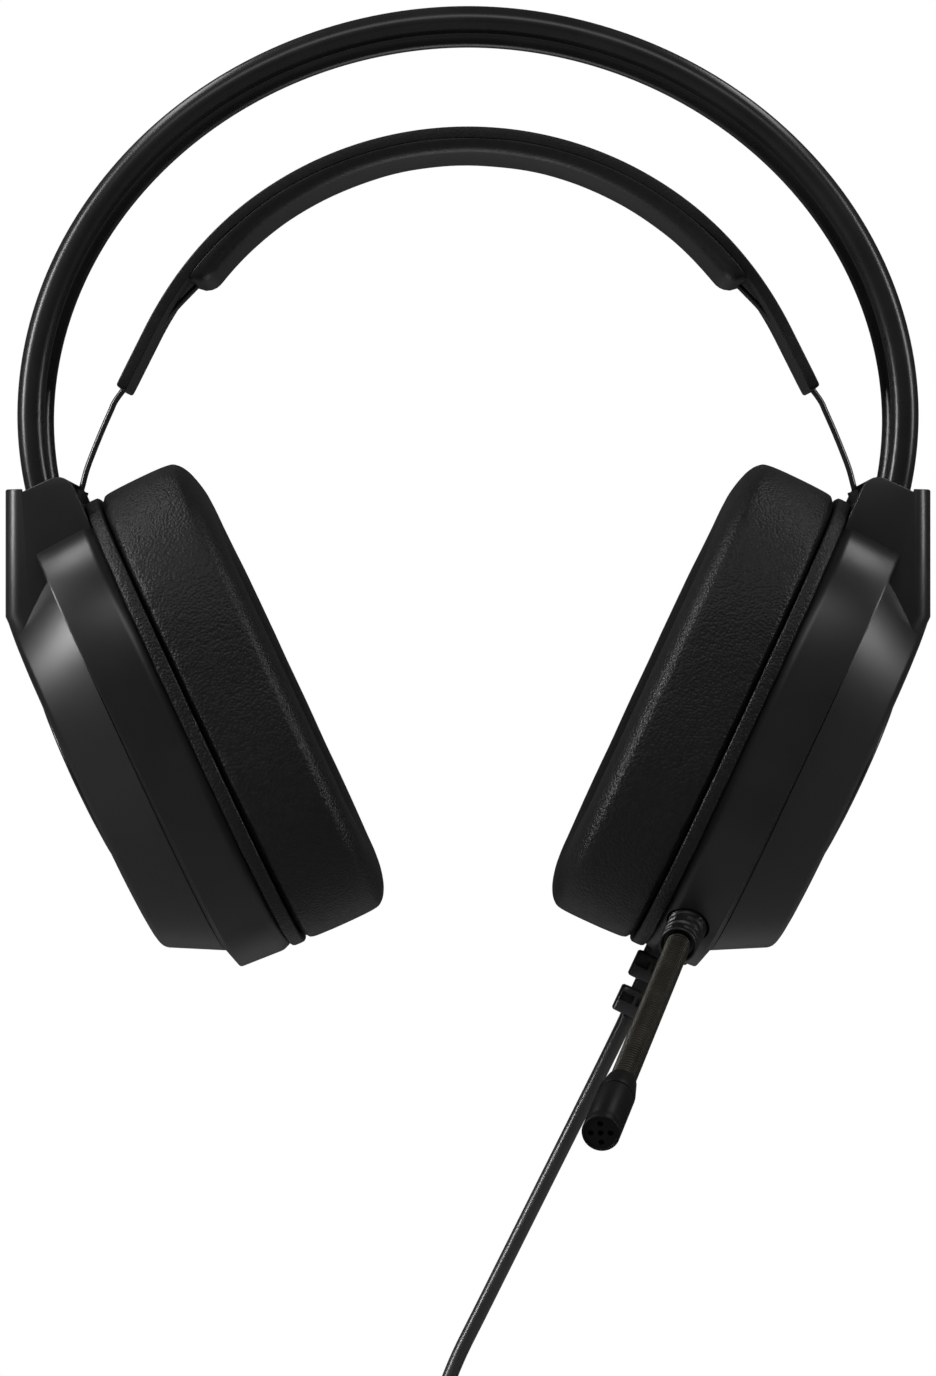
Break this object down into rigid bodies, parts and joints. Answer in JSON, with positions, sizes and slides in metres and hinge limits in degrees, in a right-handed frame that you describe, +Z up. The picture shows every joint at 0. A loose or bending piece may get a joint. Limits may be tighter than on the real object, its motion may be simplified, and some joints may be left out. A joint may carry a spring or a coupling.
{
  "type": "gaming headset",
  "caption": "Over-ear wired headset with a twin-tube arch, a self-adjusting suspended headband, tilted oval ear cups and a bendable gooseneck microphone.",
  "frame": {"origin": "middle of the headband pad's underside at the top of the head, where the wearer's head holds the headset", "axes": "+Z up, the wearer faces -Y, +X towards the wearer's left cup with the microphone and the cable"},
  "size_m": [0.1998, 0.1777, 0.3856],
  "materials": {
    "tube_black": "gloss",
    "wire_black": "gloss",
    "satin_black": "satin",
    "gloss_black": "gloss",
    "inner_plastic": "matte",
    "black_leather": "grained",
    "dust_cloth": "woven",
    "black_rubber": "matte",
    "gunmetal": "satin",
    "steel": "brushed",
    "ferrite": "matte",
    "driver_film": "satin",
    "board_green": "satin"
  },
  "bodies": {
    "headband": {"headband_strap": "black_leather", "headband_pad": "black_leather", "strap_sleeve_left": "black_leather", "strap_sleeve_right": "black_leather"},
    "frame": {"arch_tube_front": "tube_black", "arch_tube_rear": "tube_black", "cup_frame_left": "satin_black", "outer_cover_left": "satin_black", "cover_cap_left": "gloss_black", "baffle_plate_left": "inner_plastic", "dust_screen_left": "dust_cloth", "driver_basket_left": "steel", "driver_magnet_left": "ferrite", "driver_diaphragm_left": "driver_film", "cushion_skirt_left": "black_leather", "ear_cushion_left": "black_leather", "wire_bush_left": "inner_plastic", "elastic_band_left": "black_rubber", "suspension_wire_left": "wire_black", "baffle_screw_left_1": "steel", "baffle_screw_left_2": "steel", "baffle_screw_left_3": "steel", "baffle_screw_left_4": "steel", "cup_frame_right": "satin_black", "outer_cover_right": "satin_black", "cover_cap_right": "gloss_black", "baffle_plate_right": "inner_plastic", "dust_screen_right": "dust_cloth", "driver_basket_right": "steel", "driver_magnet_right": "ferrite", "driver_diaphragm_right": "driver_film", "cushion_skirt_right": "black_leather", "ear_cushion_right": "black_leather", "wire_bush_right": "inner_plastic", "elastic_band_right": "black_rubber", "suspension_wire_right": "wire_black", "baffle_screw_right_1": "steel", "baffle_screw_right_2": "steel", "baffle_screw_right_3": "steel", "baffle_screw_right_4": "steel", "mic_boot": "black_rubber", "gooseneck_base": "gunmetal", "volume_pot": "steel", "sound_board": "board_green", "strain_relief": "black_rubber", "cable_lead": "black_rubber", "cable_coil": "black_rubber", "coil_tie": "black_rubber", "cable_tail": "black_rubber", "plug_body": "black_rubber", "plug_shell": "steel", "plug_tongue": "inner_plastic"},
    "mic_arm": {"gooseneck_tip": "gunmetal"},
    "mic_head": {"mic_collar": "satin_black", "mic_housing": "satin_black", "mic_end_cap": "satin_black", "mic_capsule": "steel"},
    "volume_wheel": {"volume_wheel": "inner_plastic"}
  },
  "joints": [
    {"name": "headband_adjust", "type": "slide", "parent": "headband", "child": "frame", "axis": [0, 0, -1], "range_m": [0, 0.017], "stiffness_N_per_m": 300, "springref_m": -0.02, "deforming": ["suspension_wire_left", "suspension_wire_right", "elastic_band_left", "elastic_band_right"]},
    {"name": "mic_pitch", "type": "hinge", "parent": "frame", "child": "mic_arm", "pos_m": [0.04139, -0.05346, -0.1743], "axis": [-0.9026, 0.0202, 0.4299], "range_deg": [-30, 60], "deforming": ["gooseneck_base"]},
    {"name": "mic_yaw", "type": "hinge", "parent": "mic_arm", "child": "mic_head", "pos_m": [0.03447, -0.08952, -0.18715], "axis": [0.3918, -0.3746, 0.8403], "range_deg": [-40, 40], "deforming": ["gooseneck_tip"]},
    {"name": "volume_turn", "type": "hinge", "parent": "frame", "child": "volume_wheel", "pos_m": [0.04871, 0.009, -0.16699], "axis": [0.9063, 0, -0.4226], "range_deg": [-150, 150]}
  ]
}
